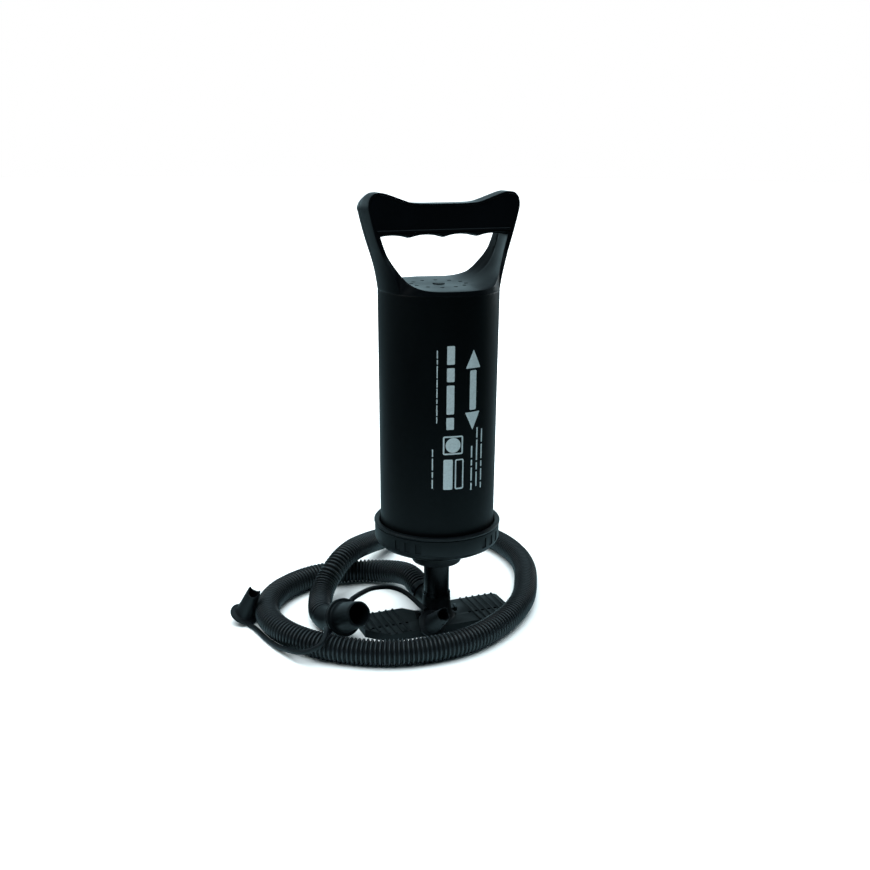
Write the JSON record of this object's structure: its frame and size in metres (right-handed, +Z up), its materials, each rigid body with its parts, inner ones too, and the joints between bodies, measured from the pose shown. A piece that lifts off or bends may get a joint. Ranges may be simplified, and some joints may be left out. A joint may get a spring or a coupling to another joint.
{
  "type": "double action hand pump",
  "caption": "Double action hand pump: a barrel with a loop handle slides on a hollow column and a fixed piston above a foot plate, with a corrugated hose, nozzle and tethered valve tips.",
  "frame": {"origin": "on the floor, on the column's axis, under the middle of the foot plate", "axes": "+Z up the column, +X along the handle and the foot plate, -Y the front, +Y the side the hose leaves from"},
  "size_m": [0.2462, 0.2214, 0.3],
  "materials": {
    "dark_plastic": "satin moulded",
    "black_plastic": "moulded, semi-gloss",
    "hose_plastic": "corrugated, semi-gloss",
    "black_rubber": "moulded",
    "screw_steel": "zinc plated"
  },
  "bodies": {
    "base": {"foot_plate": "dark_plastic", "hub_collar": "black_plastic", "hub_screws": "screw_steel", "column": "black_plastic", "port_spigot": "black_plastic", "hose_cuff": "black_plastic", "piston_lower": "dark_plastic", "piston_upper": "dark_plastic", "piston_seal": "black_rubber", "piston_screws": "screw_steel", "piston_bumper": "black_rubber", "hose": "hose_plastic", "nozzle": "dark_plastic", "tether_ring": "black_rubber", "tether_left": "black_rubber", "tether_right": "black_rubber", "valve_tip_left": "black_rubber", "valve_tip_right": "black_rubber"},
    "shuttle": {"shuttle_ring": "black_rubber"},
    "gland": {"rod_seal": "black_rubber"},
    "barrel": {"barrel": "dark_plastic", "handle_frame": "black_plastic", "grip_insert": "dark_plastic", "handle_o_ring": "black_rubber", "top_intake_stud": "dark_plastic", "bottom_cap": "dark_plastic", "barrel_gasket": "black_rubber", "gland_retainer": "dark_plastic"},
    "top_intake": {"top_intake_disc": "black_rubber"},
    "bottom_intake": {"bottom_intake_disc": "black_rubber"}
  },
  "joints": [
    {"name": "barrel_slide", "type": "slide", "parent": "base", "child": "gland", "axis": [0, 0, 1], "range_m": [0, 0.138]},
    {"name": "barrel_turn", "type": "hinge", "parent": "gland", "child": "barrel", "pos_m": [0, 0, 0.06], "axis": [0, 0, 1], "continuous": true},
    {"name": "shuttle_lift", "type": "slide", "parent": "base", "child": "shuttle", "axis": [0, 0, 1], "range_m": [0, 0.003]},
    {"name": "top_intake_lift", "type": "slide", "parent": "barrel", "child": "top_intake", "axis": [0, 0, -1], "range_m": [0, 0.0012], "stiffness_N_per_m": 60, "springref_m": -0.001},
    {"name": "bottom_intake_lift", "type": "slide", "parent": "barrel", "child": "bottom_intake", "axis": [0, 0, 1], "range_m": [0, 0.0012]}
  ]
}
